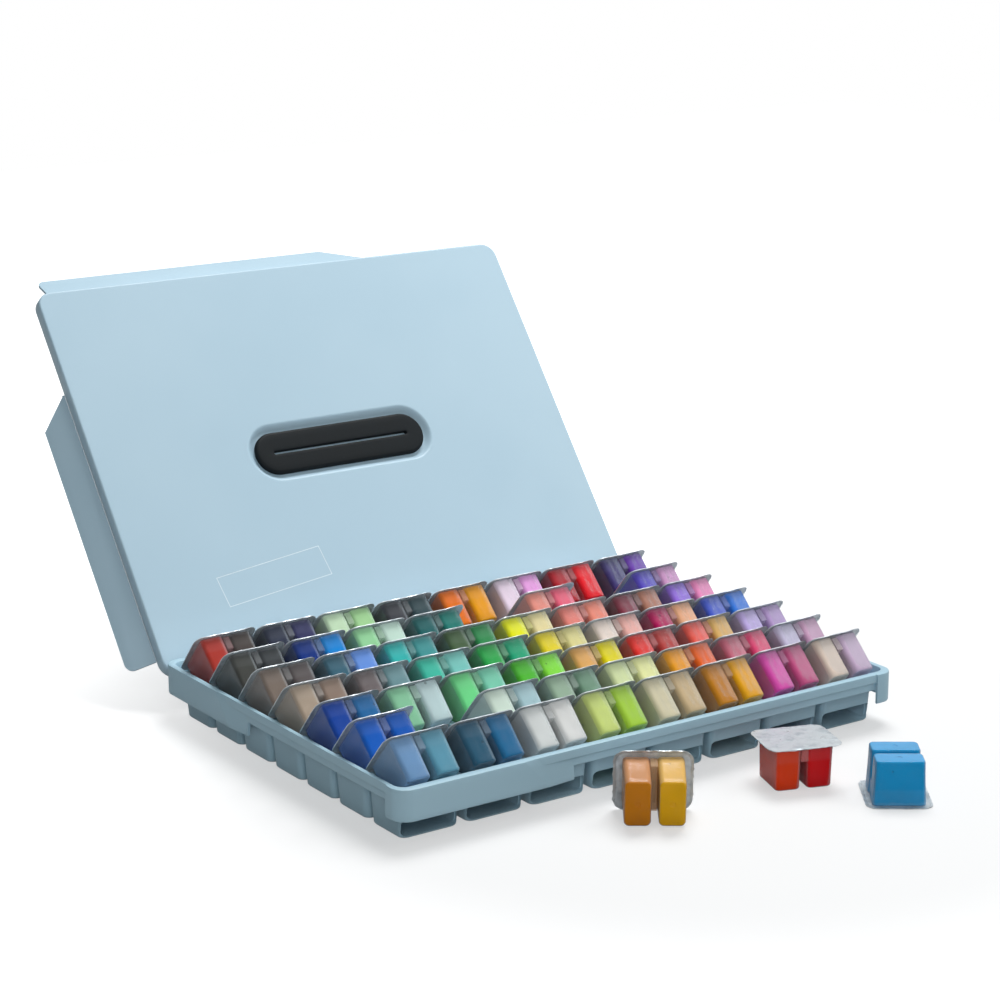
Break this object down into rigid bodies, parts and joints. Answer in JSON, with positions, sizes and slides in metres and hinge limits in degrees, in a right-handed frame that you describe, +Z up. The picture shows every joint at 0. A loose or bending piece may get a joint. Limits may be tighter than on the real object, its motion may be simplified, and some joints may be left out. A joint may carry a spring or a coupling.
{
  "type": "gouache paint set box",
  "caption": "Shallow paint tray of sealed twin-well gouache cups, tipped in their pockets, with its snap lid and recessed handle stood open behind and a few cups lying in front.",
  "frame": {"origin": "middle of the tray's underside, on the pad that meets the table", "axes": "+X to the right along the tray's width, +Y to the back where the lid stands, +Z up"},
  "size_m": [0.3315, 0.5102, 0.211],
  "materials": {
    "box_plastic": "fine satin",
    "clear_cup": "clear",
    "foil": "wrinkled, bright",
    "grip_rubber": "matte",
    "handle_plastic": "matte",
    "paint_row_1": "soft paste seen through clear plastic",
    "paint_row_2": "soft paste seen through clear plastic",
    "paint_row_3": "soft paste seen through clear plastic",
    "paint_row_4": "soft paste seen through clear plastic",
    "paint_row_5": "soft paste seen through clear plastic",
    "paint_row_6": "soft paste seen through clear plastic",
    "paint_row_7": "soft paste seen through clear plastic",
    "paint_orange_red": "soft paste seen through clear plastic",
    "paint_crimson": "soft paste seen through clear plastic",
    "paint_ochre": "soft paste seen through clear plastic",
    "paint_yellow": "soft paste seen through clear plastic",
    "paint_cerulean": "soft paste seen through clear plastic"
  },
  "bodies": {
    "tray": {"tray": "box_plastic"},
    "lid": {"lid": "box_plastic"},
    "handle": {"handle_grip": "grip_rubber", "handle_stems": "handle_plastic", "handle_retainers": "handle_plastic"},
    "lower_flap": {"lower_flap": "box_plastic"},
    "left_flap": {"left_flap": "box_plastic"},
    "upper_flap": {"upper_flap": "box_plastic"},
    "right_flap": {"right_flap": "box_plastic"},
    "row_1": {"row_1_cups": "clear_cup", "row_1_left_paints": "paint_row_1", "row_1_right_paints": "paint_row_1", "row_1_foils": "foil"},
    "row_2": {"row_2_cups": "clear_cup", "row_2_left_paints": "paint_row_2", "row_2_right_paints": "paint_row_2", "row_2_foils": "foil"},
    "row_3": {"row_3_cups": "clear_cup", "row_3_left_paints": "paint_row_3", "row_3_right_paints": "paint_row_3", "row_3_foils": "foil"},
    "row_4": {"row_4_cups": "clear_cup", "row_4_left_paints": "paint_row_4", "row_4_right_paints": "paint_row_4", "row_4_foils": "foil"},
    "row_5": {"row_5_cups": "clear_cup", "row_5_left_paints": "paint_row_5", "row_5_right_paints": "paint_row_5", "row_5_foils": "foil"},
    "row_6": {"row_6_cups": "clear_cup", "row_6_left_paints": "paint_row_6", "row_6_right_paints": "paint_row_6", "row_6_foils": "foil"},
    "row_7": {"row_7_cups": "clear_cup", "row_7_left_paints": "paint_row_7", "row_7_right_paints": "paint_row_7", "row_7_foils": "foil"},
    "loose_red": {"loose_red_cup": "clear_cup", "loose_red_left_paint": "paint_orange_red", "loose_red_right_paint": "paint_crimson", "loose_red_foil": "foil"},
    "loose_yellow": {"loose_yellow_cup": "clear_cup", "loose_yellow_left_paint": "paint_ochre", "loose_yellow_right_paint": "paint_yellow", "loose_yellow_foil": "foil"},
    "loose_blue": {"loose_blue_cup": "clear_cup", "loose_blue_left_paint": "paint_cerulean", "loose_blue_right_paint": "paint_cerulean", "loose_blue_foil": "foil"}
  },
  "joints": [
    {"name": "lid_lean", "type": "hinge", "parent": "tray", "child": "lid", "pos_m": [0, 0.11955, 0.02084], "axis": [1, 0, 0], "range_deg": [0, 35]},
    {"name": "lower_flap_hinge", "type": "hinge", "parent": "lid", "child": "lower_flap", "pos_m": [0.003, 0.12413, 0.01599], "axis": [-1, 0, 0], "range_deg": [-35, 0]},
    {"name": "left_flap_hinge", "type": "hinge", "parent": "lid", "child": "left_flap", "pos_m": [-0.1555, 0.1982, 0.11079], "axis": [0, 0.6157, 0.788], "range_deg": [-55, 35]},
    {"name": "upper_flap_hinge", "type": "hinge", "parent": "lid", "child": "upper_flap", "pos_m": [0.003, 0.27226, 0.20558], "axis": [1, 0, 0], "range_deg": [-55, 35]},
    {"name": "right_flap_hinge", "type": "hinge", "parent": "lid", "child": "right_flap", "pos_m": [0.1615, 0.1982, 0.11079], "axis": [0, -0.6157, -0.788], "range_deg": [0, 90]},
    {"name": "handle_pull", "type": "slide", "parent": "lid", "child": "handle", "axis": [0, -0.788, 0.6157], "range_m": [0, 0.003]},
    {"name": "row_1_lift", "type": "slide", "parent": "tray", "child": "row_1", "axis": [0, -0.656, 0.7548], "range_m": [0, 0.03]},
    {"name": "row_2_lift", "type": "slide", "parent": "tray", "child": "row_2", "axis": [0, -0.656, 0.7548], "range_m": [0, 0.03]},
    {"name": "row_3_lift", "type": "slide", "parent": "tray", "child": "row_3", "axis": [0, -0.656, 0.7548], "range_m": [0, 0.03]},
    {"name": "row_4_lift", "type": "slide", "parent": "tray", "child": "row_4", "axis": [0, -0.656, 0.7548], "range_m": [0, 0.03]},
    {"name": "row_5_lift", "type": "slide", "parent": "tray", "child": "row_5", "axis": [0, -0.656, 0.7548], "range_m": [0, 0.03]},
    {"name": "row_6_lift", "type": "slide", "parent": "tray", "child": "row_6", "axis": [0, -0.656, 0.7548], "range_m": [0, 0.03]},
    {"name": "row_7_lift", "type": "slide", "parent": "tray", "child": "row_7", "axis": [0, -0.656, 0.7548], "range_m": [0, 0.03]},
    {"name": "loose_red_lift", "type": "slide", "parent": "tray", "child": "loose_red", "axis": [0, 0, 1], "range_m": [0, 0.04]},
    {"name": "loose_yellow_lift", "type": "slide", "parent": "tray", "child": "loose_yellow", "axis": [0, 0, 1], "range_m": [0, 0.04]},
    {"name": "loose_blue_lift", "type": "slide", "parent": "tray", "child": "loose_blue", "axis": [0, 0, 1], "range_m": [0, 0.04]}
  ]
}
